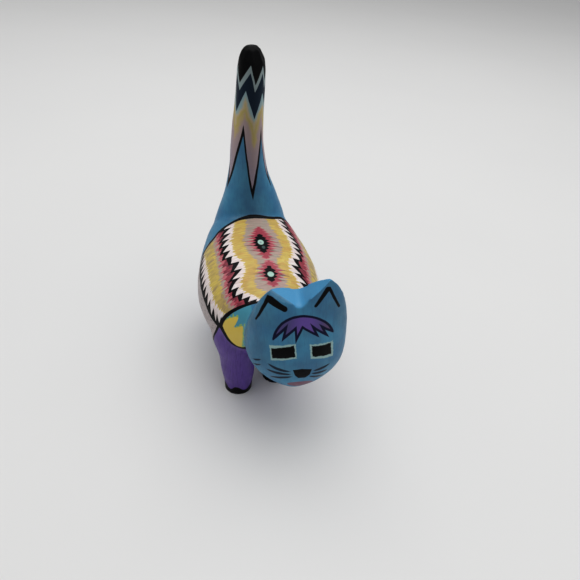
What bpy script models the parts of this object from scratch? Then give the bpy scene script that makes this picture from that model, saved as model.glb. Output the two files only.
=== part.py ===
# A carved and painted wooden cat, standing on four short legs with its tail straight up.
# The whole cat is one piece of wood. It faces -Y, its left side is +X and it stands on Z = 0.
# Sizes are in millimetres. Blender works in metres, so they are scaled by MM where they are used.

import math

import bmesh
import bpy
from mathutils import Matrix, Vector

MM = 0.001

# Torso, from the neck inside the head to the rump:
# place along the body, half width, back height, belly height, sideways shift.
TORSO = [
    (-52, 14, 92, 70, 11),
    (-40, 22, 99, 58, 9),
    (-28, 28, 98, 49, 5),
    (-18, 34, 97, 44, 1),
    (-4, 41, 101, 41, -2),
    (20, 46, 106, 39, -2),
    (50, 43.5, 108, 38, -1.5),
    (78, 37, 110, 40, -1),
    (98, 26, 112, 50, -0.5),
    (107, 16, 102, 62, -0.5),
    (110, 6, 90, 76, -0.5),
]
TORSO_SQUARENESS = 2.3

# Tail, from inside the rump to the blunt tip:
# height, half width, half depth, place along the body, sideways shift.
TAIL = [
    (70, 32, 25, 84, -1),
    (92, 30, 24, 86, -1),
    (108, 25.5, 20.5, 88, -0.5),
    (122, 20.5, 17, 89.5, -1),
    (140, 15.3, 14, 90.5, -3),
    (165, 12.5, 12, 90.5, -4.5),
    (195, 11, 10.7, 90, -3.5),
    (216, 10.3, 10, 89, -3),
    (226, 8.3, 8, 88.5, -3),
    (231, 4.8, 4.8, 88, -3),
]

# Legs: height, radius and splay outwards, from below the sole to inside the body.
LEG = [
    (-3, 10.8, 0),
    (8, 11.3, 0),
    (18, 12.9, 0.5),
    (34, 13.4, 1.9),
    (52, 15.5, 4.8),
    (64, 13.5, 6.2),
    (70, 6, 6.8),
]
FEET = [
    (-19.8, -4.2),
    (11.2, 4.4),
    (-19.4, 80),
    (19.4, 80),
]

# Head: round below, squarer and thinner towards the ears, which a V-shaped trough parts.
HEAD_CENTRE = (12.5, -41, 76)
HEAD_TURN = -6
HEAD_ROLL = 2
HEAD_HALF_WIDTH = 33.7
HEAD_CHIN = 35.7
HEAD_TOP_RIGHT = 54.2
HEAD_TOP_LEFT = 63.5
HEAD_FRONT = 27
HEAD_FRONT_AT_TOP = 19
HEAD_REAR = 28
HEAD_REAR_AT_TOP = 16
HEAD_SQUARER_ABOVE = 0.3
HEAD_THINNER_ABOVE = 1
HEAD_NARROWER_BELOW = 0.38
EARS_LEAN = 8
EAR_BLEND = 3
TROUGH_FLOOR = 38.6
TROUGH_SHIFT = -13.6
TROUGH_SLOPE = 31
TROUGH_ROLL = -15.5
TROUGH_LENGTH = 100

# How finely each form is skinned before they are joined.
ROWS_PER_GAP = 6
POINTS_ROUND = 36
HEAD_SEGMENTS = 96
HEAD_RINGS = 64
REACH_HALVINGS = 24

# How the joined forms are carved into one surface.
CARVING_GRID = 1.2
SANDING_PASSES = 30
FACET_SHARE = 0.068
GROUND_BLOCK = 400

PAINT_COLOUR = (0.05, 0.22, 0.36, 1)
PAINT_ROUGHNESS = 0.45


def curve_through(stations):
    """Rows of sizes along a smooth curve through the stations."""
    rows = []
    last = len(stations) - 1
    for i in range(last):
        before = stations[max(i - 1, 0)]
        start = stations[i]
        end = stations[i + 1]
        after = stations[min(i + 2, last)]
        for k in range(ROWS_PER_GAP):
            t = k / ROWS_PER_GAP
            row = []
            for a, b, c, d in zip(before, start, end, after):
                square = (2 * a - 5 * b + 4 * c - d) * t ** 2
                cube = (-a + 3 * b - 3 * c + d) * t ** 3
                row.append(b + 0.5 * ((c - a) * t + square + cube))
            rows.append(row)
    rows.append(list(stations[last]))
    return rows


def rounded_outline(half_a, half_b, squareness=2):
    """Points round an ellipse, or round a squarer shape when squareness is over 2."""
    points = []
    for k in range(POINTS_ROUND):
        angle = 2 * math.pi * k / POINTS_ROUND
        c = math.cos(angle)
        s = math.sin(angle)
        a = math.copysign(abs(c) ** (2 / squareness), c) * half_a
        b = math.copysign(abs(s) ** (2 / squareness), s) * half_b
        points.append((a, b))
    return points


def add_loft(bm, rings):
    """Skin a row of equal rings and close both ends."""
    loops = []
    for ring in rings:
        loops.append([bm.verts.new(Vector(point) * MM) for point in ring])
    for near, far in zip(loops, loops[1:]):
        for k in range(len(near)):
            following = (k + 1) % len(near)
            bm.faces.new((near[k], near[following], far[following], far[k]))
    bm.faces.new(reversed(loops[0]))
    bm.faces.new(loops[-1])


def add_torso(bm):
    rings = []
    for y, half_width, back, belly, shift in curve_through(TORSO):
        middle = (back + belly) / 2
        outline = rounded_outline(half_width, (back - belly) / 2, TORSO_SQUARENESS)
        rings.append([(shift + a, y, middle + b) for a, b in outline])
    add_loft(bm, rings)


def add_tail(bm):
    rings = []
    for z, half_width, half_depth, y, shift in curve_through(TAIL):
        outline = rounded_outline(half_width, half_depth)
        rings.append([(shift + a, y + b, z) for a, b in outline])
    add_loft(bm, rings)


def add_leg(bm, foot):
    x, y = foot
    side = math.copysign(1, x)
    rings = []
    for z, radius, splay in curve_through(LEG):
        outline = rounded_outline(radius, radius)
        rings.append([(x + side * splay + a, y + b, z) for a, b in outline])
    add_loft(bm, rings)


def head_reach(direction):
    """Distance from the head's centre to its surface, along a unit vector."""
    x, y, z = direction
    rise = max(0, z)
    left = 0.5 + 0.5 * math.tanh(EAR_BLEND * x)
    top = HEAD_TOP_RIGHT + (HEAD_TOP_LEFT - HEAD_TOP_RIGHT) * left
    front = HEAD_FRONT + (HEAD_FRONT_AT_TOP - HEAD_FRONT) * rise ** 2
    rear = HEAD_REAR + (HEAD_REAR_AT_TOP - HEAD_REAR) * rise ** 2
    depth = front if y < 0 else rear
    height = top if z > 0 else HEAD_CHIN
    power = 2 + HEAD_SQUARER_ABOVE * rise - HEAD_NARROWER_BELOW * max(0, -z)
    outline = (abs(x / HEAD_HALF_WIDTH) ** power + abs(z / height) ** power) ** (1 / power)
    thin = 2 - HEAD_THINNER_ABOVE * rise
    inside, outside = 0, 2 * HEAD_TOP_LEFT
    for _ in range(REACH_HALVINGS):
        reach = (inside + outside) / 2
        if (outline * reach) ** 2 + (abs(y) * reach / depth) ** thin < 1:
            inside = reach
        else:
            outside = reach
    return inside


def head_place():
    turn = Matrix.Rotation(math.radians(HEAD_TURN), 4, "Z")
    roll = Matrix.Rotation(math.radians(HEAD_ROLL), 4, "Y")
    return Matrix.Translation(Vector(HEAD_CENTRE) * MM) @ turn @ roll


def add_head(bm):
    made = bmesh.ops.create_uvsphere(bm, u_segments=HEAD_SEGMENTS, v_segments=HEAD_RINGS, radius=1)
    place = head_place()
    for vert in made["verts"]:
        direction = vert.co.normalized()
        point = direction * head_reach(direction)
        point.y -= EARS_LEAN * (max(0, point.z) / HEAD_TOP_RIGHT) ** 2
        vert.co = place @ (point * MM)


def new_object(name, bm, collection, parent):
    bmesh.ops.recalc_face_normals(bm, faces=bm.faces)
    mesh = bpy.data.meshes.new(name)
    bm.to_mesh(mesh)
    bm.free()
    obj = bpy.data.objects.new(name, mesh)
    obj.parent = parent
    collection.objects.link(obj)
    return obj


def new_cutter(name, bm, collection, parent):
    cutter = new_object(name, bm, collection, parent)
    cutter.display_type = "WIRE"
    cutter.hide_render = True
    return cutter


def make_trough_cutter(collection, parent):
    """A long diamond bar whose lower edge is the bottom of the trough between the ears."""
    bm = bmesh.new()
    bmesh.ops.create_cube(bm, size=TROUGH_LENGTH * MM)
    on_edge = Matrix.Rotation(math.radians(45), 3, "Y")
    bmesh.ops.rotate(bm, verts=bm.verts, matrix=on_edge)
    bmesh.ops.scale(bm, verts=bm.verts, vec=(1, 1, math.tan(math.radians(TROUGH_SLOPE))))
    roll = Matrix.Rotation(math.radians(TROUGH_ROLL), 3, "Y")
    bmesh.ops.rotate(bm, verts=bm.verts, matrix=roll)
    lowest = min(vert.co.z for vert in bm.verts)
    lift = TROUGH_FLOOR * MM - lowest
    bmesh.ops.translate(bm, verts=bm.verts, vec=(TROUGH_SHIFT * MM, 0, lift))
    bmesh.ops.transform(bm, verts=bm.verts, matrix=head_place())
    return new_cutter("ear_trough_cutter", bm, collection, parent)


def make_ground_cutter(collection, parent):
    bm = bmesh.new()
    bmesh.ops.create_cube(bm, size=GROUND_BLOCK * MM)
    bmesh.ops.translate(bm, verts=bm.verts, vec=(0, 0, -GROUND_BLOCK * MM / 2))
    return new_cutter("ground_cutter", bm, collection, parent)


def cut_away(obj, label, cutter):
    cut = obj.modifiers.new(label, "BOOLEAN")
    cut.operation = "DIFFERENCE"
    cut.solver = "EXACT"
    cut.object = cutter


def make_cat(collection, cutters, parent):
    bm = bmesh.new()
    add_torso(bm)
    add_tail(bm)
    add_head(bm)
    for foot in FEET:
        add_leg(bm, foot)
    cat = new_object("carved_cat", bm, collection, parent)

    join = cat.modifiers.new("Join the forms", "REMESH")
    join.mode = "VOXEL"
    join.voxel_size = CARVING_GRID * MM
    sand = cat.modifiers.new("Sand the joins", "SMOOTH")
    sand.factor = 0.5
    sand.iterations = SANDING_PASSES
    cut_away(cat, "Part the ears", make_trough_cutter(cutters, parent))
    facets = cat.modifiers.new("Facets", "DECIMATE")
    facets.ratio = FACET_SHARE
    cut_away(cat, "Flat soles", make_ground_cutter(cutters, parent))
    return cat


def paint(cat):
    material = bpy.data.materials.new("blue acrylic on wood")
    material.use_nodes = True
    shader = material.node_tree.nodes["Principled BSDF"]
    shader.inputs["Base Color"].default_value = PAINT_COLOUR
    shader.inputs["Roughness"].default_value = PAINT_ROUGHNESS
    shader.inputs["Metallic"].default_value = 0
    cat.data.materials.append(material)
    cat.data.shade_smooth()


def centre_on_origin(cat, parent):
    """Move everything so that the middle of the cat's footprint box is at the origin."""
    graph = bpy.context.evaluated_depsgraph_get()
    corners = [Vector(corner) for corner in cat.evaluated_get(graph).bound_box]
    for axis in (0, 1):
        side = [corner[axis] for corner in corners]
        parent.location[axis] = -(min(side) + max(side)) / 2


def main():
    for obj in list(bpy.data.objects):
        bpy.data.objects.remove(obj, do_unlink=True)
    collection = bpy.data.collections.new("painted_wooden_cat")
    cutters = bpy.data.collections.new("cutters")
    bpy.context.scene.collection.children.link(collection)
    bpy.context.scene.collection.children.link(cutters)
    frame = bpy.data.objects.new("cat_frame", None)
    collection.objects.link(frame)

    cat = make_cat(collection, cutters, frame)
    paint(cat)
    centre_on_origin(cat, frame)


main()
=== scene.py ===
import math

import bpy
from mathutils import Euler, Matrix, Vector


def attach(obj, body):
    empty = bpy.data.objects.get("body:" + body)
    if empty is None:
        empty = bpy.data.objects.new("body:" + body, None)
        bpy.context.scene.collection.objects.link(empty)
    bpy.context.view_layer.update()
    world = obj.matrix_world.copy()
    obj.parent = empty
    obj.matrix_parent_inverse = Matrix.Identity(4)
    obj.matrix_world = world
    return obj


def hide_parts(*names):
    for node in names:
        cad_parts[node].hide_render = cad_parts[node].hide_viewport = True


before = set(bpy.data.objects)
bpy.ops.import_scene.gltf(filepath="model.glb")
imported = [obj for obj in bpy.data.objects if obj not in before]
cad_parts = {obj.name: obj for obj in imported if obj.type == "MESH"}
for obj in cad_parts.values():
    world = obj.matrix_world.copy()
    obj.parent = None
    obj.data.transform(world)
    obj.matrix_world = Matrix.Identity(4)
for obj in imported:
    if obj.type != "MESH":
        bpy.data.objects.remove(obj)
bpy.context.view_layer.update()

mm = 0.001

# The head's own frame: its centre in mm and its turn in degrees. Its front looks along local -Y.
headPlace = {
    "centre": (13.44, -62, 76),
    "turn": (0, 2, -6),
    "neck": (33, 28, 40),  # half sizes of the round shape that meets the neck
    "neckCoat": (1.04, 30),  # the head's blue laps over it up to this share; mm to a whole share
    "neckEdge": 1.01,  # painted as head: up to this share of it,
    "faceFrom": (5, -46),  # ahead of these places in the head's frame and the cat's,
    "crownFrom": (101, -30),  # and above this height where it is ahead of this place
}

# Middles of the four soles in mm.
feet = {
    "frontRight": (-18.85, -25.2),
    "frontLeft": (12.15, -16.6),
    "hindRight": (-18.45, 59),
    "hindLeft": (20.35, 59),
    "hindFrom": 20,  # the legs behind this are the hind ones
    "splay": 0.12,  # the legs lean outwards by this much of their height
    "splayFrom": 12,  # above this height in mm
}

paints = {
    "blue": "#33739A", "blueThin": "#418AAB", "blueThick": "#285F83",
    # sky is the brighter blue of the painted highlight between the ears; slate greys and darkens the
    # face, partly as painted shade
    "sky": "#4692BF", "slate": "#304A58", "teal": "#458EA2",
    "black": "#08080A", "jet": "#020304", "ink": "#0E1230", "navy": "#062034",
    "mint": "#A9CDBF", "eyeLine": "#8DACAA", "greyMint": "#8FA1A2", "moss": "#2F4A48",
    "cream": "#E6DEDC", "creamRose": "#DCCBC8", "taupe": "#A3988B", "taupeRose": "#B0948A",
    "lemon": "#CAB45B", "ochre": "#BF9A50", "khaki": "#A08A62",
    "patch": "#D6BB4E", "leaf": "#8FAE5C",
    "red": "#A03546", "redThick": "#691F31", "rose": "#B8666E", "brown": "#6E4A48",
    "purple": "#5E4391", "purpleThick": "#4A3274", "purpleGrey": "#433B6E", "plum": "#6F465A",
    "lilac": "#AEA3A2", "streak": "#625860",
    "bareWood": "#C9A36E", "grain": "#9C7442",
}


def fromHex(code):
    shares = [int(code[i:i + 2], 16) / 255 for i in (1, 3, 5)]
    return [s / 12.92 if s <= 0.04045 else ((s + 0.055) / 1.055) ** 2.4 for s in shares] + [1]


coats = {name: fromHex(code) for name, code in paints.items()}

# Half the width in mm over which one paint gives way to the next.
edges = {"crisp": 0.14, "dabbed": 0.25, "soft": 0.3, "ragged": 0.4}

# What noise mostly lies between, to be stretched over the range of what it varies.
mostNoise = (0.3, 0.7)
midNoise = (0.35, 0.65)


def add(tree, kind, *inputs, **settings):
    # A node; the word after its kind is its operation or data type, and each input in order is a value,
    # or a node or socket to link
    kind, _, choice = kind.partition(" ")
    node = tree.nodes.new("ShaderNode" + kind)
    if choice:
        settings["data_type" if kind == "Mix" else "operation"] = choice
    for name, value in settings.items():
        setattr(node, name, value)
    sockets = [socket for socket in node.inputs if socket.enabled]
    for socket, value in zip(sockets, inputs):
        if isinstance(value, bpy.types.Node):
            value = next(out for out in value.outputs if out.enabled)
        if isinstance(value, bpy.types.NodeSocket):
            tree.links.new(value, socket)
        elif value is not None:
            socket.default_value = value
    return node


def curveOf(tree, value, points, sharp=True):
    # A value looked up along a line drawn through listed (place, value) points
    first, last = points[0][0], points[-1][0]
    lowest = min(y for x, y in points)
    highest = max(y for x, y in points)
    share = add(tree, "MapRange", value, first, last, 0, 1)
    drawn = add(tree, "FloatCurve", 1, share)
    curve = drawn.mapping.curves[0]
    spots = [((x - first) / (last - first), (y - lowest) / (highest - lowest)) for x, y in points]
    for spot in spots[1:-1]:
        curve.points.new(*spot)
    curve.points[0].location = spots[0]
    curve.points[len(spots) - 1].location = spots[-1]
    for point in curve.points:
        point.handle_type = "VECTOR" if sharp else "AUTO"
    drawn.mapping.update()
    return add(tree, "MapRange", drawn, 0, 1, lowest, highest)


def cover(tree, under, distance, paint, soft=edges["crisp"]):
    # A shape painted over what is there, from the distance in mm to its edge, positive inside
    mask = add(tree, "MapRange", distance, -soft, soft, 0, 1)
    over = coats[paint] if isinstance(paint, str) else paint
    return add(tree, "Mix RGBA", mask, under, over)


def lineAt(tree, distance, width):
    # A painted line along the edge of a shape
    away = add(tree, "Math ABSOLUTE", distance)
    return add(tree, "Math SUBTRACT", width / 2, away)


def overlap(tree, first, *others):
    # What lies inside all of these shapes, from their distances
    for other in others:
        first = add(tree, "Math MINIMUM", first, other)
    return first


def within(tree, plane, corners, closed=True):
    # Distance in mm from the nearest of the straight sides between corners that run clockwise
    ends = corners[1:] + corners[:1] if closed else corners[1:]
    sides = []
    for (x1, z1), (x2, z2) in zip(corners, ends):
        length = math.hypot(x2 - x1, z2 - z1)
        nx, nz = (z2 - z1) / length, (x1 - x2) / length
        offset = -nx * x1 - nz * z1
        sides.append(add(tree, "VectorMath DOT_PRODUCT", plane, (nx, offset, nz)))
    return overlap(tree, *sides)


def bar(tree, plane, start, end, startWidth, endWidth):
    # A straight stroke with round ends, as the loaded brush was pressed and lifted
    (x1, z1), (x2, z2) = start, end
    ax, az = x2 - x1, z2 - z1
    square = ax ** 2 + az ** 2
    lengthwise = (ax / square, -(ax * x1 + az * z1) / square, az / square)
    gone = add(tree, "VectorMath DOT_PRODUCT", plane, lengthwise)
    gone = add(tree, "MapRange", gone, 0, 1, 0, 1)
    moved = add(tree, "VectorMath SCALE", (ax, 0, az), gone)
    spot = add(tree, "VectorMath ADD", moved, (x1, 1, z1))
    away = add(tree, "VectorMath DISTANCE", plane, spot)
    half = add(tree, "MapRange", gone, 0, 1, startWidth / 2, endWidth / 2)
    return add(tree, "Math SUBTRACT", half, away)


def stroke(tree, plane, start, end, width, bow):
    # A thin stroke that swells in the middle, thins out at its ends and may bow
    (x1, z1), (x2, z2) = start, end
    half = math.hypot(x2 - x1, z2 - z1) / 2
    mx, mz = (x1 + x2) / 2, (z1 + z2) / 2
    ax, az = (x2 - x1) / half / 2, (z2 - z1) / half / 2
    w = width / 2
    lengthwise = (ax / half, -(ax * mx + az * mz) / half, az / half)
    sideways = (-az / w, (az * mx - ax * mz - bow) / w, ax / w)
    u = add(tree, "VectorMath DOT_PRODUCT", plane, lengthwise)
    v = add(tree, "VectorMath DOT_PRODUCT", plane, sideways)
    square = add(tree, "Math MULTIPLY", u, u)
    bent = add(tree, "Math MULTIPLY_ADD", square, bow / w, v)
    spot = add(tree, "CombineXYZ", u, bent, 0)
    reach = add(tree, "VectorMath LENGTH", spot)
    return add(tree, "Math MULTIPLY_ADD", reach, -w, w)


def millimetres(tree, centre=(0, 0, 0), turn=(0, 0, 0), size=(1, 1, 1)):
    # Object coordinates in mm, seen from a centre and turn of their own
    place = add(tree, "TexCoord").outputs["Object"]
    location = [value * mm for value in centre]
    rotation = [math.radians(value) for value in turn]
    scale = [value * mm for value in size]
    return add(tree, "Mapping", place, location, rotation, scale, vector_type="TEXTURE")


def unsteady(tree, place, settings):
    # Moves a pattern about a little, as a hand-held brush does
    drift = add(tree, "TexNoise", place, 1 / settings["swayWidth"], 2, 0.5)
    centred = add(tree, "VectorMath SUBTRACT", drift.outputs["Color"], (0.5, 0.5, 0.5))
    return add(tree, "VectorMath MULTIPLY_ADD", centred, [settings["sway"]] * 3, place)


def feed(tree, node, name):
    # Leads a node to one of the shader's sockets
    out = next(socket for socket in node.outputs if socket.enabled)
    tree.links.new(out, tree.nodes["Principled BSDF"].inputs[name])


# What the brush and the paint do to the surface, the same all over the cat.
brushwork = {
    "hairs": (0.9, 7.5, 9),  # mm across, along and up: hair marks, twice the real ones so they show
    "hairDepth": 0.035,  # mm
    "grain": (2.2, 44, 2.2),  # raised lines of wood grain under the paint
    "grainDepth": 0.05,
    "paintEdge": 0.07,  # mm that dark outlines stand above the ground coat
    "outlineTones": (0, 0.35),
    "roughness": (0.36, 0.54),
    "sheenWidth": 6,  # mm over which it varies
    "flatBlack": (0.12, 0.5),  # how much black liner paint shines, and other colours
    "blackTones": (0.004, 0.04),
    "patchWidth": 17,  # mm across the places where the brush ran dry
    "thin": (0.38, 0.66, 0, 0.85),
    "loaded": (0.52, 0.75, 0, 0.5),
    "loadedPurple": (0.4, 0.7, 0, 0.8),
}


def brushMarks(tree, place):
    # Hair marks along the back, the tail and the legs
    across = add(tree, "VectorMath DIVIDE", place, brushwork["hairs"])
    return add(tree, "TexNoise", across, 1, 3, 0.6)


def blueGround(tree, place, marks):
    # Two coats of blue: thin and lighter where the brush ran dry, deeper where it was loaded
    patches = add(tree, "TexNoise", place, 1 / brushwork["patchWidth"], 3, 0.55)
    thin = add(tree, "MapRange", patches, *brushwork["thin"])
    ground = add(tree, "Mix RGBA", thin, coats["blue"], coats["blueThin"])
    loaded = add(tree, "MapRange", marks, *brushwork["loaded"])
    return add(tree, "Mix RGBA", loaded, ground, coats["blueThick"])


def finishPaint(tree, colour, place, marks):
    # Satin acrylic: an even soft gloss, broken by hair marks, raised outlines and faint grain
    tree.nodes["Principled BSDF"].inputs["IOR"].default_value = 1.49
    feed(tree, colour, "Base Color")
    sheen = add(tree, "TexNoise", place, 1 / brushwork["sheenWidth"], 3, 0.6)
    feed(tree, add(tree, "MapRange", sheen, *mostNoise, *brushwork["roughness"]), "Roughness")
    dark = add(tree, "RGBToBW", colour)
    raised = add(tree, "MapRange", dark, *brushwork["outlineTones"], brushwork["paintEdge"], 0)
    gloss = add(tree, "MapRange", dark, *brushwork["blackTones"], *brushwork["flatBlack"])
    feed(tree, gloss, "Specular IOR Level")
    # noise lies about its middle, so a depth is half of what it is multiplied by
    hairs = add(tree, "Math MULTIPLY_ADD", marks, brushwork["hairDepth"] * 2, raised)
    along = add(tree, "VectorMath DIVIDE", place, brushwork["grain"])
    grain = add(tree, "TexNoise", along, 1, 2, 0.5)
    height = add(tree, "Math MULTIPLY_ADD", grain, brushwork["grainDepth"] * 2, hairs)
    feed(tree, add(tree, "Bump", 1, mm, None, height), "Normal")


def newMaterial(name):
    material = bpy.data.materials.new(name)
    material.use_nodes = True
    return material


def brushed(name, paintPart):
    # A material of brushed acrylic, from the function that gives its colours
    material = newMaterial(name)
    tree = material.node_tree
    place = millimetres(tree)
    marks = brushMarks(tree, place)
    finishPaint(tree, paintPart(tree, place, marks), place, marks)
    return material


# The face, in mm of the head's own frame: (x to its left, z up), seen from the front.
face = {
    "sway": 0.5,
    "swayWidth": 5,
    "greyPatchWidth": 15,  # mm across the greyer patches, and how much grey is in them
    "greyPatchShare": (0.15, 0.42),
    "chin": (-20, -6),  # the heights between which they fade in
    "topTilt": (0.55, 0.75, 0, 0.9),  # how far a face looks up, and how much brighter it is for that
    "topFrom": (22, 27),
    "backTilt": 60,  # what looks back, or lies behind this, has the marks moved aside
    "backFrom": 2,
    "aside": 500,
    "bumpy": 0.24,  # mm that the eyes' dabbed edges wander, and how wide the bumps are
    "bumps": 1.5,
    "eyes": [
        ("eyeLine", [(-19.4, 11.8), (-3.7, 16.6), (-2.3, 7.2), (-17.8, 2)]),
        ("black", [(-18.4, 10.3), (-4.5, 15.5), (-3.2, 8), (-17.1, 3.7)]),
        ("eyeLine", [(5, 16.3), (20.7, 15.2), (22.4, 3.9), (6.8, 6.5)]),
        ("black", [(6.4, 15.2), (19.3, 14.4), (20.8, 6), (7.7, 7.8)]),
    ],
    "nose": [(-3.8, -2.6), (2, -1.3), (8.5, -2.1), (7.9, -7.2), (5.4, -10.2), (0.6, -10.5), (-1.7, -7.8)],
    "mouth": [(-5.2, -19.6), (12, -19.2), 8.4, 0],
    "whiskers": [
        [(-19.2, -1.9), (-5.2, -4.4), 2.5, -0.9],
        [(-19.6, -7.5), (-4.6, -7.2), 2.5, -0.6],
        [(-17, -15), (-3.6, -9.2), 2.5, -0.4],
        [(9.9, -3.9), (20.6, -1.7), 2.4, -0.4],
        [(9, -6.5), (19.9, -7.1), 2.4, -0.5],
        [(8, -9.4), (18.8, -13.2), 2.4, -0.3],
        [(-28.2, -5.6), (-23.8, -1.2), 1.3, 0],
        [(-27.7, -11.3), (-23.5, -5.5), 1.3, 0],
    ],
    "ears": [
        [(-21.5, 39.9), (-28.2, 22.6), 2.2, 0.9],
        [(-20.2, 38.8), (-12, 36.2), 4.9, 3.8],
        [(13.1, 50.2), (6.7, 40.3), 3.3, 1.9],
        [(14.2, 50.8), (22.4, 37), 2, 1.5],
    ],
    "fringeCentre": (1.9, 14.3),
    "fringeRadius": 19.3,
    "fringeLine": 1.5,
    "fringeGreys": (3, 11, 0.1, 1),  # from and to this far out, and how much
    "fringeWarms": (11, 19, 0, 0.7),
    "locks": [  # where each one's sides lead to, with its tip between them
        [(-10.2, 25.2), (-17.5, 16.6), (-20.5, 22)],
        [(-4.4, 25.6), (-11.3, 18.5), (-10.2, 25.2)],
        [(-0.1, 27), (-3.4, 19.1), (-4.4, 25.6)],
        [(6.2, 27.2), (9.2, 21.9), (-0.1, 26.7)],
        [(12.1, 26.7), (15.6, 20.9), (6.2, 27.2)],
        [(22.4, 27.6), (20, 21.6), (12.1, 26.7)],
    ],
    # plane of the knife cut along the right ear's inner edge: its normal, and mm from the head's centre
    "bevel": (-0.19, -0.58, 0.79),
    "bevelFrom": 40.8,
    "bevelLap": 0.5,  # mm that the face's blue laps over it, and how softly
    "bevelSoft": 0.3,
}


def fringeOf(tree, plane):
    # Hair under a round arch, cut into six locks along its lower edge
    x, z = face["fringeCentre"]
    away = add(tree, "VectorMath DISTANCE", plane, (x, 1, z))
    arch = add(tree, "Math SUBTRACT", face["fringeRadius"], away)
    hair = None
    for corners in face["locks"]:
        lock = within(tree, plane, corners, closed=False)
        hair = add(tree, "Math MAXIMUM", hair, lock) if hair else lock
    return overlap(tree, arch, hair)


def paintHead(tree, place, marks):
    # Acrylic brushed on carved wood, face: flat satin blue with the marks of the face in liner brush
    colour = blueGround(tree, place, marks)
    own = millimetres(tree, headPlace["centre"], headPlace["turn"])
    swayed = unsteady(tree, own, face)
    x, y, z = add(tree, "SeparateXYZ", swayed).outputs
    normal = add(tree, "SeparateXYZ", add(tree, "NewGeometry").outputs["Normal"]).outputs

    # the blue above the chin is greyer and darker in random patches: partly the paint's own uneven tone,
    # partly painted shade on the face, which fades out towards the chin
    greyPatches = add(tree, "TexNoise", place, 1 / face["greyPatchWidth"], 2, 0.5)
    greyed = add(tree, "MapRange", greyPatches, *midNoise, *face["greyPatchShare"])
    aboveChin = add(tree, "MapRange", z, *face["chin"], 0, 1)
    greyed = add(tree, "Math MULTIPLY", greyed, aboveChin)
    colour = add(tree, "Mix RGBA", greyed, colour, coats["slate"])

    # painted highlight: where the surface between the ears faces up it is painted a brighter blue, as
    # light from above falls on it, up to the knife cut on the right ear
    upward = add(tree, "MapRange", normal["Z"], *face["topTilt"])
    high = add(tree, "MapRange", z, *face["topFrom"], 0, 1)
    lit = add(tree, "Math MULTIPLY", upward, high)
    cut = add(tree, "VectorMath DOT_PRODUCT", swayed, face["bevel"])
    cut = add(tree, "Math SUBTRACT", cut, face["bevelFrom"] - face["bevelLap"])
    cut = overlap(tree, cut, add(tree, "Math SUBTRACT", 0, x))
    uncut = add(tree, "MapRange", cut, -face["bevelSoft"], face["bevelSoft"], 1, 0)
    lit = add(tree, "Math MULTIPLY", lit, uncut)
    colour = add(tree, "Mix RGBA", lit, colour, coats["sky"])

    backwards = add(tree, "Math MULTIPLY_ADD", normal["Y"], face["backTilt"], y)
    behind = add(tree, "Math GREATER_THAN", backwards, face["backFrom"])
    moved = add(tree, "Math MULTIPLY_ADD", behind, face["aside"], x)
    plane = add(tree, "CombineXYZ", moved, 1, z)

    fringe = fringeOf(tree, plane)
    middle = add(tree, "Math SUBTRACT", x, face["fringeCentre"][0])
    middle = add(tree, "Math ABSOLUTE", middle)
    thinner = add(tree, "MapRange", middle, *face["fringeGreys"])
    hair = add(tree, "Mix RGBA", thinner, coats["purple"], coats["purpleGrey"])
    warm = add(tree, "MapRange", x, *face["fringeWarms"])
    hair = add(tree, "Mix RGBA", warm, hair, coats["plum"])
    colour = cover(tree, colour, fringe, hair)
    colour = cover(tree, colour, lineAt(tree, fringe, face["fringeLine"]), "ink")

    dabbed = add(tree, "TexNoise", place, 1 / face["bumps"], 1, 0.6)
    bumps = add(tree, "MapRange", dabbed, *mostNoise, -face["bumpy"], face["bumpy"])
    for paint, corners in face["eyes"]:
        eye = add(tree, "Math ADD", within(tree, plane, corners), bumps)
        colour = cover(tree, colour, eye, paint, edges["dabbed"])
    colour = cover(tree, colour, within(tree, plane, face["nose"]), "black")
    colour = cover(tree, colour, stroke(tree, plane, *face["mouth"]), "plum")
    for whisker in face["whiskers"]:
        colour = cover(tree, colour, stroke(tree, plane, *whisker), "navy")
    for mark in face["ears"]:
        colour = cover(tree, colour, bar(tree, plane, *mark), "black")
    return colour


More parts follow.
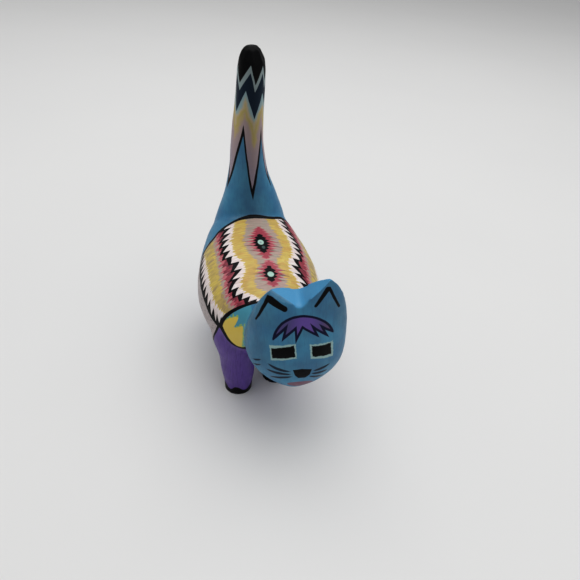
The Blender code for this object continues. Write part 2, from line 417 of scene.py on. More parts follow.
# The blanket on the back. Across is measured over the back from the spine, along is towards the tail.
blanket = {
    "spineHeight": 66,
    "middle": 1.4,
    # where its rear edge lies at each place across, and its side edges at each place along
    "rearEdge": [(-57, 14), (-52, 24), (-46.8, 29.4), (-41.3, 32.1), (-36.9, 33.4), (-30.4, 38),
                 (-23.2, 41.5), (-16.6, 44), (-10.3, 45.7), (5.5, 46), (13.4, 46.6), (20.5, 49.9),
                 (25.9, 52.7), (30.1, 54.2), (38, 53), (46, 47), (52, 40), (57, 30)],
    "sideEdge": [(-46, 44), (-40, 47.5), (-36.5, 51), (-32, 55.5), (-27, 57.5), (-20.5, 58.3), (-13, 59),
                 (4, 58.4), (15, 57), (25, 52.5), (30, 50), (40, 47), (60, 40)],
    "frontEdge": (46, 0.19),  # how far ahead in the middle, and how much less a mm further out
    "outline": 2,
    "rearThinner": 0.65,  # below 1 the outline is bolder there
    "sway": 0.6,
    "swayWidth": 7,
    "lopsided": 0.5,  # mm that the middle band leans to the cat's left
    "fray": 1.5,  # mm that the brushed edges of the pale bands wander
    "apart": 40,  # mm, so that each side is uneven in a way of its own
    "unevenWidth": 13,  # mm over which the teeth bunch up, and by how much
    "uneven": 2.4,
    "stagger": 2.3,  # mm that the two sides' teeth are out of step
    "closesFrom": -30.8,  # ahead of this the bands close in on the neck
    "closing": (30, -0.9, 1.15),  # for so many mm; what a mm adds to the teeth and to the bands
    # mm that the outer bands bend in, and that the inner ones are wider, at each place along
    "bend": [(-46, 15), (-40, 12), (-36.5, 8.6), (-32, 4.5), (-27, 2.6), (-20, 1.9), (0, 1.2), (20, 0),
             (60, 0)],
    "waist": [(-40, 0), (-27, 0), (-20, -2.5), (-12, -4.5), (-5, -2.5), (4, 1.5), (14, 2), (30, -1),
              (46, -4)],
    "dabs": (0.13, 0.42, 0),  # scales across and along: crosswise dabs and finer hair marks
    "hairs": (0.11, 0.85, 0),
    "thinned": (0.88, 1.1),  # how dark and how light these leave the paint
    # paint, what varies it from dab to dab, and its two tones
    "tones": [
        ("yellow", "X", "lemon", "ochre"),
        ("khaki", "Z", "lemon", "khaki"),
        ("red", "Y", "red", "redThick"),
        ("taupe", "Y", "taupe", "taupeRose"),
        ("cream", "X", "cream", "creamRose"),
    ],
    # from the outside in: paint, which measure, how far out it reaches, tooth depth and pitch, start
    "bands": [
        ("lemon", "bent", 50.2, 1.6, 3.4, 0.3),
        ("khaki", "bent", 48.8, 1.4, 3.4, 0.1),
        ("taupe", "halfBent", 39, 1.2, 5.2, 0.7),
        ("rose", "halfBent", 37.4, 4, 6.4, 0.2),
        ("red", "halfBent", 34.8, 3.6, 6.4, 0.45),
        ("black", "waisted", 32.8, 4, 7.3, 0.35),
        ("cream", "waisted", 29.3, 6.6, 7.3, 0.15),
        ("lemon", "waistedFrayed", 22, 1.8, 3.7, 0.6),
        ("yellow", "waistedFrayed", 21, 1.6, 3.7, 0.3),
        ("taupe", "lopsided", 12, 1.2, 5.5, 0.5),
    ],
    "starLean": 0.1,  # how much the spikes slant
    "spikeLengths": (0.4, 1.4),  # shortest and longest, as shares
    "starCurve": 1.7,  # 1 gives a lozenge with straight sides, 2 a rounder one
    "spikesShorten": 0.6,  # by this share towards the star's ends
    # paint, middle across and along, half width, half length, length, pitch and thinness of its spikes
    "stars": [
        ("brown", (1.6, 12), 5.5, 17, 13, 5.6, 5),
        ("rose", (1.5, 13.2), 5.8, 20, 7.5, 3.9, 2),
        ("red", (1.8, 13.4), 5.4, 20, 5.4, 3.2, 1.3),
        ("black", (0.9, 11.6), 4.1, 12.2, 3.2, 3.4, 1),
        ("brown", (2.8, -20.4), 5, 11, 12, 4.7, 5),
        ("rose", (2.8, -20), 5.2, 12.4, 7, 3.6, 2),
        ("red", (2.9, -20.2), 4.7, 11.8, 5.4, 3.1, 1.3),
        ("black", (2.3, -20.8), 3.3, 7.4, 2.8, 3.1, 1),
    ],
    # paint, middle across and along, half width, half length
    "dots": [
        ("mint", (0.5, 12.7), 2.2, 3),
        ("greyMint", (0.4, 12.5), 0.8, 1.2),
        ("moss", (1.6, 6.4), 1.2, 1.7),
        ("mint", (2.5, -21.2), 2.3, 2.3),
    ],
    # depth, pitch and start, width where narrowest, only this far out and up to this far back
    "borderTeeth": (6.2, 5.8, 0.4, 1.3, 40, 25),
}


def bandEdge(tree, measure, steps, reach, depth, pitch, start):
    # A row of teeth like those of a woven blanket, each with its steep side towards the tail
    count = add(tree, "Math MULTIPLY_ADD", steps, 1 / pitch, start)
    tooth = add(tree, "Math FRACT", count)
    toothed = add(tree, "Math MULTIPLY_ADD", tooth, depth, measure)
    return add(tree, "Math SUBTRACT", reach, toothed)


def starOf(tree, across, along, rows, spot, halfWidth, halfLength, spike, pitch, thinness):
    # A long lozenge with uneven spikes to both sides
    x, y = spot
    dx = add(tree, "Math SUBTRACT", across, x)
    lean = add(tree, "Math MULTIPLY_ADD", dx, blanket["starLean"], rows)
    comb = add(tree, "Math PINGPONG", lean, pitch / 2)
    spikes = add(tree, "MapRange", comb, 0, pitch / 2, 0, 1)
    spikes = add(tree, "Math POWER", spikes, thinness)
    row = add(tree, "TexNoise", None, lean, 1 / pitch, 0, 0, noise_dimensions="1D")
    shortest, longest = (spike * share for share in blanket["spikeLengths"])
    length = add(tree, "MapRange", row, *mostNoise, shortest, longest)
    dy = add(tree, "MapRange", along, y - halfLength, y + halfLength, -1, 1, clamp=False)
    away = add(tree, "Math ABSOLUTE", dy)
    curved = add(tree, "Math POWER", away, blanket["starCurve"])
    spikes = add(tree, "Math MULTIPLY", spikes, length)
    nearMiddle = add(tree, "Math MULTIPLY_ADD", curved, -blanket["spikesShorten"], 1)
    spikes = add(tree, "Math MULTIPLY", spikes, nearMiddle)
    body = add(tree, "Math MULTIPLY_ADD", curved, -halfWidth, halfWidth)
    wide = add(tree, "Math ADD", body, spikes)
    side = add(tree, "Math ABSOLUTE", dx)
    inside = add(tree, "Math SUBTRACT", wide, side)
    ends = add(tree, "MapRange", away, 0, 1, halfLength, 0, clamp=False)
    return overlap(tree, inside, ends)


def blanketEdge(tree, across, along, out):
    # Distances in mm to the nearest of the blanket's rear, side and front edges, and to its side edge
    rearLine = curveOf(tree, across, blanket["rearEdge"], sharp=False)
    rear = add(tree, "Math SUBTRACT", rearLine, along)
    rear = add(tree, "Math MULTIPLY", rear, blanket["rearThinner"])
    sideLine = curveOf(tree, along, blanket["sideEdge"], sharp=False)
    side = add(tree, "Math SUBTRACT", sideLine, out)
    back, slant = blanket["frontEdge"]
    line = add(tree, "Math MULTIPLY_ADD", out, -slant, back)
    front = add(tree, "Math ADD", along, line)
    return overlap(tree, rear, side, front), side


def paintBlanket(tree, colour, place):
    # Serrated bands round two spiked stars, each coat over the last
    x, along, z = add(tree, "SeparateXYZ", unsteady(tree, place, blanket)).outputs
    up = add(tree, "Math SUBTRACT", z, blanket["spineHeight"])
    turn = add(tree, "Math ARCTAN2", x, up)
    arm = add(tree, "CombineXYZ", x, 0, up)
    radius = add(tree, "VectorMath LENGTH", arm)
    across = add(tree, "Math MULTIPLY", turn, radius)
    centred = add(tree, "Math SUBTRACT", across, blanket["middle"])
    out = add(tree, "Math ABSOLUTE", centred)
    side = add(tree, "Math SIGN", centred)
    edge, sideEdge = blanketEdge(tree, across, along, out)

    # how far the teeth have gone along each side, uneven as hand work is
    start = blanket["closesFrom"]
    most, stepShare, bandShare = blanket["closing"]
    closing = add(tree, "MapRange", along, start, start - most, 0, most)
    row = add(tree, "Math MULTIPLY_ADD", side, blanket["apart"], along)
    jitter = add(tree, "TexNoise", None, row, 1 / blanket["unevenWidth"], 1, 0.5, noise_dimensions="1D")
    uneven = add(tree, "MapRange", jitter, *mostNoise, -blanket["uneven"], blanket["uneven"])
    offset = add(tree, "Math MULTIPLY_ADD", side, blanket["stagger"], along)
    drawn = add(tree, "Math ADD", offset, uneven)
    steps = add(tree, "Math MULTIPLY_ADD", closing, stepShare, drawn)
    waist = curveOf(tree, along, blanket["waist"], sharp=False)
    pulledIn = add(tree, "Math SUBTRACT", out, waist)
    waisted = add(tree, "Math MULTIPLY_ADD", closing, bandShare, pulledIn)

    # crosswise brush dabs that fray the pale bands and vary their tone
    flatPlace = add(tree, "CombineXYZ", across, along, 0)
    dabPlace = add(tree, "VectorMath MULTIPLY", flatPlace, blanket["dabs"])
    dabs = add(tree, "TexVoronoi", dabPlace, 1, voronoi_dimensions="2D")
    tone = add(tree, "SeparateXYZ", dabs.outputs["Color"]).outputs
    fine = add(tree, "VectorMath MULTIPLY", flatPlace, blanket["hairs"])
    wander = add(tree, "TexNoise", fine, 1, 2, 0.6, noise_dimensions="2D")
    fray = add(tree, "MapRange", wander, *mostNoise, -blanket["fray"], blanket["fray"])
    frayed = add(tree, "Math ADD", out, fray)
    bend = curveOf(tree, along, blanket["bend"], sharp=False)
    waistedFrayed = add(tree, "Math ADD", waisted, fray)
    measures = {
        "bent": add(tree, "Math ADD", frayed, bend),
        "halfBent": add(tree, "Math MULTIPLY_ADD", bend, 0.5, frayed),
        "waisted": waisted,
        "waistedFrayed": waistedFrayed,
        "lopsided": add(tree, "Math MULTIPLY_ADD", side, -blanket["lopsided"], waistedFrayed),
    }
    mixed = {}
    for paint, axis, first, second in blanket["tones"]:
        mixed[paint] = add(tree, "Mix RGBA", tone[axis], coats[first], coats[second])

    rows = add(tree, "Math MULTIPLY_ADD", uneven, 0.5, along)
    depth, pitch, start, least, sides, rearmost = blanket["borderTeeth"]
    border = bandEdge(tree, sideEdge, steps, least, -depth, pitch, start)
    toTheSides = add(tree, "Math SUBTRACT", out, sides)
    ahead = add(tree, "Math SUBTRACT", rearmost, along)
    woven = cover(tree, mixed["cream"], overlap(tree, border, toTheSides, ahead), "black")
    for paint, measure, *row in blanket["bands"]:
        band = bandEdge(tree, measures[measure], steps, *row)
        soft = edges["crisp"] if paint == "cream" else edges["soft"]
        woven = cover(tree, woven, band, mixed.get(paint, paint), soft)
    for paint, *star in blanket["stars"]:
        shape = starOf(tree, across, along, rows, *star)
        woven = cover(tree, woven, shape, paint, edges["dabbed"])
    for paint, (x, y), halfWidth, halfLength in blanket["dots"]:
        dx = add(tree, "Math SUBTRACT", across, x)
        dy = add(tree, "Math SUBTRACT", along, y)
        shorter = add(tree, "Math MULTIPLY", dy, halfWidth / halfLength)
        spot = add(tree, "CombineXYZ", dx, shorter, 0)
        reach = add(tree, "VectorMath LENGTH", spot)
        dot = add(tree, "Math SUBTRACT", halfWidth, reach)
        woven = cover(tree, woven, dot, paint, edges["dabbed"])
    thinned = add(tree, "MapRange", wander, *mostNoise, *blanket["thinned"])
    woven = add(tree, "VectorMath SCALE", woven, thinned)
    colour = cover(tree, colour, edge, woven)
    return cover(tree, colour, lineAt(tree, edge, blanket["outline"]), "black")


# Legs, shoulders and flanks below the blanket.
flank = {
    "sway": 0.7,
    "swayWidth": 7,
    "outline": 2.5,
    "legRadius": 15.3,
    "legTop": 52,
    "legTopFlat": 1.7,  # above 1 the purple's arch on a leg is flatter
    "legLine": 1.6,
    "chest": (0.33, 54.2, -30),  # the front's purple: how much it leans back, its height and place
    "chestTop": (28, 48, 60, 120),  # from and to this far out, its top rises between these heights
    "rump": (40, 80, 18, 30),  # at these heights the lilac ends this far back
    "front": 36,
    "streaks": (1.1, 0.09, 1.1),  # scales of the streaks where it was brushed thinly
    "streakShare": (0.54, 0.66, 0, 0.95),
    "shoulderCentre": (-26.8, 95.1),
    "shoulderSize": (12.1, 38.3),
    "shoulderTilt": 7.4,
    "shoulderRear": -30,
    "shoulderLineTop": 76,
    "mirror": 1.7,  # the plane that the right shoulder is mirrored on to give the left
    "patchBase": 76,  # the patch's two flames lean by this much above this height
    "patchLean": 0.39,
    "patchTop": [(-36, 68), (-32.6, 75.5), (-30, 80.8), (-27.3, 84.1), (-25.9, 84.3), (-25.6, 76.2),
                 (-24.5, 76.6), (-23, 78.9), (-22, 80.6), (-21.5, 79.5), (-19.5, 74), (-14, 60)],
    "leafWidth": 2.2,  # mm across the bumps of green round the patch, and its reach
    "leafReach": (-0.3, 3.2),
}


def legFrame(tree, x, y, z):
    # Place seen from the axis of the nearest leg, in mm
    onLeft = add(tree, "Math GREATER_THAN", x, 0)
    behind = add(tree, "Math GREATER_THAN", y, feet["hindFrom"])
    pairs = []
    for pair in ("front", "hind"):
        right = (*feet[pair + "Right"], -feet["splay"])
        left = (*feet[pair + "Left"], feet["splay"])
        pairs.append(add(tree, "Mix VECTOR", onLeft, right, left))
    chosen = add(tree, "Mix VECTOR", behind, *pairs)
    footX, footY, splay = add(tree, "SeparateXYZ", chosen).outputs
    rise = add(tree, "Math SUBTRACT", z, feet["splayFrom"])
    rise = add(tree, "Math MAXIMUM", rise, 0)
    axis = add(tree, "Math MULTIPLY_ADD", splay, rise, footX)
    return add(tree, "Math SUBTRACT", x, axis), add(tree, "Math SUBTRACT", y, footY)


def frontAngle(tree, dx, dy):
    # Degrees round an axis from the front, positive to the cat's left
    forwards = add(tree, "Math MULTIPLY", dy, -1)
    turn = add(tree, "Math ARCTAN2", dx, forwards)
    return add(tree, "Math DEGREES", turn)


def purpleOf(tree, marks):
    loaded = add(tree, "MapRange", marks, *brushwork["loadedPurple"])
    return add(tree, "Mix RGBA", loaded, coats["purple"], coats["purpleThick"])


def paintFlanks(tree, colour, place, marks):
    # Lilac flanks, purple legs and a patched shoulder on either side, each with its outline
    x, y, z = add(tree, "SeparateXYZ", unsteady(tree, place, flank)).outputs

    # lilac along the flanks and under the belly, brushed thinly so that darker streaks show
    fine = add(tree, "VectorMath MULTIPLY", place, flank["streaks"])
    streaks = add(tree, "TexNoise", fine, 1, 3, 0.65)
    amount = add(tree, "MapRange", streaks, *flank["streakShare"])
    lilac = add(tree, "Mix RGBA", amount, coats["lilac"], coats["streak"])
    rear = add(tree, "MapRange", z, *flank["rump"])
    ahead = add(tree, "Math SUBTRACT", rear, y)
    side = overlap(tree, ahead, add(tree, "Math ADD", y, flank["front"]))
    colour = cover(tree, colour, side, lilac)
    colour = cover(tree, colour, lineAt(tree, side, flank["outline"]), "black")

    # purple up the legs, and up the front to the shoulders
    arm = add(tree, "CombineXYZ", *legFrame(tree, x, y, z), 0)
    around = add(tree, "VectorMath LENGTH", arm)
    leg = add(tree, "Math SUBTRACT", flank["legRadius"], around)
    below = add(tree, "Math SUBTRACT", flank["legTop"], z)
    below = add(tree, "Math MULTIPLY", below, flank["legTopFlat"])
    lean, height, foremost = flank["chest"]
    slope = add(tree, "Math MULTIPLY_ADD", z, -lean, height * lean + foremost)
    chest = add(tree, "Math SUBTRACT", slope, y)
    fromMiddle = add(tree, "Math SUBTRACT", x, flank["mirror"])
    out = add(tree, "Math ABSOLUTE", fromMiddle)
    rise = add(tree, "MapRange", out, *flank["chestTop"])
    under = add(tree, "Math SUBTRACT", rise, z)
    legs = add(tree, "Math MAXIMUM", overlap(tree, leg, below), overlap(tree, chest, under))
    colour = cover(tree, colour, legs, purpleOf(tree, marks))
    colour = cover(tree, colour, lineAt(tree, legs, flank["legLine"]), "black")

    # shoulders: a yellow patch with a serrated top, inside a long oval
    folded = add(tree, "Math SUBTRACT", flank["mirror"], out)
    upright = add(tree, "CombineXYZ", folded, 0, z)
    cx, cz = flank["shoulderCentre"]
    a, b = flank["shoulderSize"]
    tilt = -math.radians(flank["shoulderTilt"])
    oval = add(tree, "Mapping", upright, (cx, 0, cz), (0, tilt, 0), (a, 1, b), vector_type="TEXTURE")
    size = add(tree, "VectorMath LENGTH", oval)
    slopes = add(tree, "VectorMath MULTIPLY", oval, (1 / a, 0, 1 / b))
    steep = add(tree, "VectorMath LENGTH", slopes)
    inwards = add(tree, "Math SUBTRACT", 1, size)
    shoulder = add(tree, "Math MULTIPLY", inwards, size)
    shoulder = add(tree, "Math DIVIDE", shoulder, steep)
    shoulder = overlap(tree, shoulder, add(tree, "Math SUBTRACT", flank["shoulderRear"], y))
    colour = cover(tree, colour, shoulder, "teal")
    lifted = add(tree, "Math SUBTRACT", z, flank["patchBase"])
    leaned = add(tree, "Math MULTIPLY_ADD", lifted, -flank["patchLean"], folded)
    top = curveOf(tree, leaned, flank["patchTop"])
    patch = add(tree, "Math SUBTRACT", top, z)
    patch = overlap(tree, patch, shoulder)
    rough = add(tree, "TexNoise", place, 1 / flank["leafWidth"], 1, 0.5)
    ragged = add(tree, "MapRange", rough, *midNoise, *flank["leafReach"])
    leaf = overlap(tree, add(tree, "Math ADD", patch, ragged), shoulder)
    colour = cover(tree, colour, leaf, "leaf", edges["ragged"])
    colour = cover(tree, colour, patch, "patch", edges["ragged"])
    low = add(tree, "Math SUBTRACT", flank["shoulderLineTop"], z)
    line = overlap(tree, lineAt(tree, shoulder, flank["outline"]), low)
    return cover(tree, colour, line, "black")


# Bands round the tail as heights in mm at angles from the front, positive to the cat's left.
tail = {
    "axis": (-2.5, 69),
    "sway": 0.8,
    "swayWidth": 8,
    "blackTo": [(-180, 207), (-150, 219), (-112, 207), (-75, 217.5), (-54, 206.5), (-8, 219.3), (12, 206),
                (45, 218.6), (60, 208), (88, 219), (124, 206), (152, 218), (180, 207)],
    "paleLine": 2.5,
    "navyTo": [(-180, 188), (-146, 204), (-104, 184), (-84, 203), (-66, 186), (-25, 202), (13, 182),
               (49, 200), (84, 184), (120, 203), (150, 184), (180, 188)],
    "zigzag": [(-180, 174), (-148, 131), (-113, 173), (-78, 129), (-29, 174), (7, 125.5), (52, 172),
               (68, 131), (104, 174), (140, 131), (180, 174)],
    "zigzagLine": 1.6,
    "steep": (0.19, 0.4, 0.5),  # what heights over their steep edges count for: zigzag, navy and tip
    "blotches": (8, 3.4),  # mm across where the blended paints wander, and how far
    # painted shade down the front of the tail
    "frontShade": (10, 65, 0.42, 0),  # strongest and weakest angle, and how much there
    "frontShadeFades": (88, 108),
    "fades": [(0, "#8CA9AF"), (4, "#9BADA8"), (8, "#BFAD8C"), (13, "#B5A55F"), (17, "#B7A374"),
              (21, "#AA9593"), (45, "#9D8E9B")],
}


def tailAngle(tree, x, y):
    axisX, axisY = tail["axis"]
    dx = add(tree, "Math SUBTRACT", x, axisX)
    return frontAngle(tree, dx, add(tree, "Math SUBTRACT", y, axisY))


def shadeTailFront(tree, colour, place):
    # Painted shade down the front of the tail, where less light falls: a thin dark tint that fades out to
    # its sides and onto the rump
    x, y, z = add(tree, "SeparateXYZ", place).outputs
    offFront = add(tree, "Math ABSOLUTE", tailAngle(tree, x, y))
    frontShade = add(tree, "MapRange", offFront, *tail["frontShade"])
    reach = add(tree, "MapRange", z, *tail["frontShadeFades"], 0, 1)
    frontShade = add(tree, "Math MULTIPLY", frontShade, reach)
    return add(tree, "Mix RGBA", frontShade, colour, coats["black"])


def paintBody(tree, place, marks):
    # Acrylic brushed on carved wood, blanket: many small flat coats with crisp, slightly raised edges
    blue = blueGround(tree, place, marks)
    # painted shade on the rump below the tail's front
    shadedBlue = shadeTailFront(tree, blue, place)
    colour = paintFlanks(tree, shadedBlue, place, marks)
    colour = paintBlanket(tree, colour, place)
    neck = millimetres(tree, headPlace["centre"], headPlace["turn"], headPlace["neck"])
    size = add(tree, "VectorMath LENGTH", neck)
    reach, whole = headPlace["neckCoat"]
    onHead = add(tree, "Math MULTIPLY_ADD", size, -whole, reach * whole)
    return cover(tree, colour, onHead, blue)


def paintTail(tree, place, marks):
    # Acrylic brushed on carved wood, tail: zigzag bands, wet-blended from grey-blue through tan to mauve
    colour = blueGround(tree, place, marks)
    x, y, z = add(tree, "SeparateXYZ", unsteady(tree, place, tail)).outputs
    angle = tailAngle(tree, x, y)
    zigzagShare, navyShare, tipShare = tail["steep"]

    zigzag = curveOf(tree, angle, tail["zigzag"])
    above = add(tree, "Math SUBTRACT", z, zigzag)
    above = add(tree, "Math MULTIPLY", above, zigzagShare)
    navyEdge = curveOf(tree, angle, tail["navyTo"])
    down = add(tree, "Math SUBTRACT", navyEdge, z)
    blotchWidth, blotchReach = tail["blotches"]
    blotch = add(tree, "TexNoise", place, 1 / blotchWidth, 2, 0.5)
    wander = add(tree, "MapRange", blotch, *mostNoise, -blotchReach, blotchReach)
    blended = add(tree, "Math ADD", down, wander)
    deepest = tail["fades"][-1][0]
    share = add(tree, "MapRange", blended, 0, deepest, 0, 1)
    fade = add(tree, "ValToRGB", share)
    stops = fade.color_ramp.elements
    while len(stops) < len(tail["fades"]):
        stops.new(0.5)
    for stop, (depth, code) in zip(stops, tail["fades"]):
        stop.position = depth / deepest
        stop.color = fromHex(code)
    colour = cover(tree, colour, above, fade)
    colour = cover(tree, colour, lineAt(tree, above, tail["zigzagLine"]), "black")
    navy = add(tree, "Math MULTIPLY", down, -navyShare)
    colour = cover(tree, colour, navy, "navy")
    blackEdge = curveOf(tree, angle, tail["blackTo"])
    tip = add(tree, "Math SUBTRACT", z, blackEdge)
    tip = add(tree, "Math MULTIPLY", tip, tipShare)
    pale = add(tree, "Math ADD", tip, tail["paleLine"])
    colour = cover(tree, colour, pale, "greyMint")
    colour = cover(tree, colour, tip, "jet")
    # painted shade down the front of the tail
    return shadeTailFront(tree, colour, place)


# Black toe caps, as heights in mm at angles from the front of each foot.
toes = {
    "edge": [(-180, 4.8), (-150, 7.4), (-114, 4.6), (-78, 8), (-42, 4.4), (-16, 8), (22, 4.4),
             (64, 8.6), (100, 4.6), (140, 7.6), (180, 4.8)],
}


def paintLegs(tree, place, marks):
    # Acrylic brushed on carved wood, legs: deep purple in two coats, with black scalloped toes
    colour = purpleOf(tree, marks)
    x, y, z = add(tree, "SeparateXYZ", unsteady(tree, place, flank)).outputs
    angle = frontAngle(tree, *legFrame(tree, x, y, z))
    edge = curveOf(tree, angle, toes["edge"], sharp=False)
    cap = add(tree, "Math SUBTRACT", edge, z)
    return cover(tree, colour, cap, "black", edges["soft"])


# The bare wood under the feet.
sole = {
    "grain": (1.4, 0.12, 1),  # scales of the grain across, along and up
    "roughness": (0.62, 0.8),
    "relief": 0.1,  # mm
}


def bareSole():
    # Bare carved wood, sanded flat: pale, matt, with long grain and a few dark pores
    material = newMaterial("bare sanded wood, soles")
    tree = material.node_tree
    along = add(tree, "VectorMath MULTIPLY", millimetres(tree), sole["grain"])
    grain = add(tree, "TexNoise", along, 1, 4, 0.6)
    amount = add(tree, "MapRange", grain, *midNoise, 0, 1)
    colour = add(tree, "Mix RGBA", amount, coats["bareWood"], coats["grain"])
    feed(tree, colour, "Base Color")
    feed(tree, add(tree, "MapRange", grain, *mostNoise, *sole["roughness"]), "Roughness")
    feed(tree, add(tree, "Bump", 0.6, sole["relief"] * mm, None, grain), "Normal")
    return material


# How the cat is carved.
carving = {
    "weld": 0.01,  # mm, corners closer than this are one
    "fineness": 8,  # halvings of its height that give the spacing of surface points
    "fill": 0.899,  # share of their grid that it fills; at 0.9 four faces shared an edge
    "sanding": 8,  # passes that take the roughness off
    "sandedEdges": 0.15,  # share of the sanding that the crisp edges get
    "edgeAngle": 30,  # degrees, bends sharper than this are crisp edges
    "knifeDepth": 0.35,  # mm, the shallow planes that the knife left
    "knifeWidth": 14,
    "sole": 0.5,  # mm, what is rubbed flat under each foot
    "tip": 230.8,  # mm, where the tail's tip is cut flat
    # rings of slanting cuts round it: how many, degrees from the flat top, and mm from the axis's foot
    "tipCuts": [(7, 42, 173.45), (9, 64, 105.5)],
    "tipTurn": 0.3,  # share of a cut's width by which each ring is turned
    "tipCutsFrom": 205,
    "earsFrom": (-50, 100),  # the ears lie ahead of this place and above this height
    # the trough between the ears, rounded off: its right, left, lower, upper and front limits in mm
    "valley": (-7, 5, 30, 44, -40),
    "valleySanding": 30,
    "tailFrom": 114,  # heights in mm where the coats of paint meet
    "legsTo": 30,
}


def applyModifier(obj, kind, **settings):
    modifier = obj.modifiers.new(kind.lower(), kind)
    for name, value in settings.items():
        setattr(modifier, name, value)
    bpy.ops.object.modifier_apply(modifier=modifier.name)


def cutBack(point, facing, reach):
    # What stands out past a knife's cut is taken off
    return point - facing * max(0, facing.dot(point) - reach)


def facetedTip(point):
    # The tail's tip is whittled: two rings of slanting cuts and a flat top
    axis = Vector((*tail["axis"], 0)) * mm
    up = Vector((0, 0, 1))
    point = point - axis
    for cuts, slope, reach in carving["tipCuts"]:
        for cut in range(cuts):
            turn = math.tau * (cut + carving["tipTurn"]) / cuts
            facing = Euler((0, math.radians(slope), turn)).to_matrix() @ up
            point = cutBack(point, facing, reach * mm)
    return cutBack(point, up, carving["tip"] * mm) + axis


headTurn = Euler([math.radians(angle) for angle in headPlace["turn"]]).to_matrix()
headCentre = Vector(headPlace["centre"])


def inHead(point):
    # Where a point lies in the head's own frame, in mm
    return headTurn.inverted() @ (point / mm - headCentre)


def bevelledEar(point):
    # A knife cut along the inner front edge of the right ear
    own = inHead(point)
    if own.x > 0:
        return point
    cut = cutBack(own, Vector(face["bevel"]).normalized(), face["bevelFrom"])
    return (headTurn @ cut + headCentre) * mm


def inValley(point):
    right, left, low, high, front = carving["valley"]
    own = inHead(point)
    return right < own.x < left and low < own.z < high and own.y > front


def carveCat():
    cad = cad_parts["carved_cat"]
    cat = bpy.data.objects.new("paintedCat", cad.data.copy())
    bpy.context.scene.collection.objects.link(cat)
    cat.data.materials.clear()
    bpy.ops.object.select_all(action="DESELECT")
    cat.select_set(True)
    bpy.context.view_layer.objects.active = cat
    bpy.ops.object.mode_set(mode="EDIT")
    bpy.ops.mesh.select_all(action="SELECT")
    bpy.ops.mesh.remove_doubles(threshold=carving["weld"] * mm)
    bpy.ops.object.mode_set(mode="OBJECT")

    # even faces with crisp edges, then sanded, and most in the trough between the ears
    applyModifier(cat, "REMESH", mode="SHARP", octree_depth=carving["fineness"],
                  scale=carving["fill"], sharpness=1)
    bpy.ops.object.mode_set(mode="EDIT")
    bpy.ops.mesh.select_mode(type="EDGE")
    bpy.ops.mesh.select_all(action="DESELECT")
    bpy.ops.mesh.edges_select_sharp(sharpness=math.radians(carving["edgeAngle"]))
    bpy.ops.mesh.select_mode(type="VERT")
    bpy.ops.object.mode_set(mode="OBJECT")
    crisp = [vertex.index for vertex in cat.data.vertices if vertex.select and not inValley(vertex.co)]
    sanded = cat.vertex_groups.new(name="sanded")
    sanded.add(range(len(cat.data.vertices)), 1, "REPLACE")
    sanded.add(crisp, carving["sandedEdges"], "REPLACE")
    applyModifier(cat, "SMOOTH", factor=0.5, iterations=carving["sanding"], vertex_group="sanded")
    trough = cat.vertex_groups.new(name="trough")
    trough.add([vertex.index for vertex in cat.data.vertices if inValley(vertex.co)], 1, "REPLACE")
    applyModifier(cat, "SMOOTH", factor=0.5, iterations=carving["valleySanding"], vertex_group="trough")

    knife = bpy.data.textures.new("knifeMarks", "CLOUDS")
    knife.noise_scale = carving["knifeWidth"] * mm
    knife.noise_depth = 0
    applyModifier(cat, "DISPLACE", texture=knife, texture_coords="LOCAL", direction="NORMAL",
                  mid_level=1, strength=carving["knifeDepth"] * mm)
    earsAhead, earsAbove = carving["earsFrom"]
    for vertex in cat.data.vertices:
        if vertex.co.z < carving["sole"] * mm:
            vertex.co.z = 0
        if vertex.co.z > carving["tipCutsFrom"] * mm:
            vertex.co = facetedTip(vertex.co)
        elif vertex.co.y < earsAhead * mm and vertex.co.z > earsAbove * mm:
            vertex.co = bevelledEar(vertex.co)
    bpy.ops.object.shade_smooth()
    print("carved:", len(cat.data.polygons), "faces")
    return cat


def isHead(spot):
    own = inHead(spot)
    neck = Vector([value / half for value, half in zip(own, headPlace["neck"])])
    ownFront, front = headPlace["faceFrom"]
    crown, crownFront = headPlace["crownFrom"]
    inFace = own.y < ownFront and spot.y < front * mm
    inCrown = spot.z > crown * mm and spot.y < crownFront * mm
    return neck.length < headPlace["neckEdge"] or inFace or inCrown


def shareOutPaint(cat):
    # Each face gets the paint of its part: body, head, tail, legs or bare sole
    parts = {"blanket": paintBody, "face": paintHead, "tail": paintTail, "legs": paintLegs}
    for name, paintPart in parts.items():
        cat.data.materials.append(brushed("brushed acrylic on carved wood, " + name, paintPart))
    cat.data.materials.append(bareSole())
    for patch in cat.data.polygons:
        spot = patch.center
        if patch.normal.z < -0.9 and spot.z < 0.1 * mm:
            patch.material_index = 4
        elif isHead(spot):
            patch.material_index = 1
        elif spot.z > carving["tailFrom"] * mm and spot.y > 0:
            patch.material_index = 2
        elif spot.z < carving["legsTo"] * mm:
            patch.material_index = 3
    print("painted")


# A pale floor and soft light from overhead.
studio = {
    "floorSize": 6,
    "floorColour": "#DDDDDC",
    "floorMottle": "#D0D0D0",
    "floorRoughness": 0.7,
    "lamp": {"size": 2, "power": 18.8, "place": (0.1, 0.32, 1.6), "aim": (0, 0, 0.05)},
    "fill": {"size": 0.8, "power": 0.8, "place": (0.5, -0.9, 0.6), "aim": (0, 0, 0.1)},
    "sky": 0.395,
    "skyColour": (0.99, 0.99, 1, 1),
    "look": "Medium High Contrast",
    "cameraPlace": (-61.8, -335.2, 322),
    "cameraTurn": (54, 5, -14),
    "lens": 34.76,
    "shift": 1 / 580,  # share of the frame's width
}


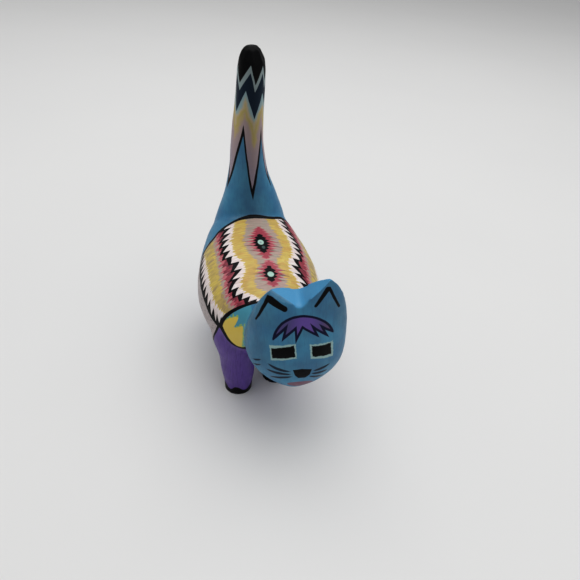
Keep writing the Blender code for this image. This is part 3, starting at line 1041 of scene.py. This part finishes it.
def layFloor():
    bpy.ops.object.select_all(action="DESELECT")
    bpy.ops.mesh.primitive_plane_add(size=studio["floorSize"])
    floor = bpy.context.object
    floor.name = "floor"
    # Matt painted board: pale grey with the faintest mottle
    material = newMaterial("matt painted board")
    tree = material.node_tree
    place = add(tree, "TexCoord").outputs["Object"]
    mottle = add(tree, "TexNoise", place, 4, 3, 0.5)
    tint = add(tree, "MapRange", mottle, *mostNoise, 0, 0.12)
    tones = fromHex(studio["floorColour"]), fromHex(studio["floorMottle"])
    colour = add(tree, "Mix RGBA", tint, *tones)
    feed(tree, colour, "Base Color")
    tree.nodes["Principled BSDF"].inputs["Roughness"].default_value = studio["floorRoughness"]
    floor.data.materials.append(material)


def hangLamp(name, settings):
    light = bpy.data.lights.new(name, "AREA")
    light.size = settings["size"]
    light.energy = settings["power"]
    lamp = bpy.data.objects.new(name, light)
    lamp.location = settings["place"]
    aim = Vector(settings["aim"]) - lamp.location
    lamp.rotation_euler = aim.to_track_quat("-Z", "Y").to_euler()
    bpy.context.scene.collection.objects.link(lamp)


def setCamera():
    camera = bpy.data.objects.new("camera", bpy.data.cameras.new("camera"))
    down, roll, turn = (math.radians(angle) for angle in studio["cameraTurn"])
    heading = Euler((0, 0, turn)).to_matrix() @ Euler((down, 0, 0)).to_matrix()
    camera.rotation_euler = (heading @ Euler((0, 0, roll)).to_matrix()).to_euler()
    camera.location = Vector(studio["cameraPlace"]) * mm
    camera.data.lens = studio["lens"]
    camera.data.sensor_width = 36
    camera.data.shift_x = studio["shift"]
    camera.data.clip_start = 0.01
    bpy.context.scene.collection.objects.link(camera)
    bpy.context.scene.camera = camera


def lightScene():
    world = bpy.data.worlds.new("soft sky")
    world.use_nodes = True
    sky = world.node_tree.nodes["Background"]
    sky.inputs["Color"].default_value = studio["skyColour"]
    sky.inputs["Strength"].default_value = studio["sky"]
    bpy.context.scene.world = world
    hangLamp("overhead", studio["lamp"])
    hangLamp("fill", studio["fill"])
    bpy.context.scene.view_settings.view_transform = "Standard"
    bpy.context.scene.view_settings.look = studio["look"]


cat = carveCat()
shareOutPaint(cat)
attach(cat, "root")
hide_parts("carved_cat")
layFloor()
setCamera()
lightScene()
print("lit")
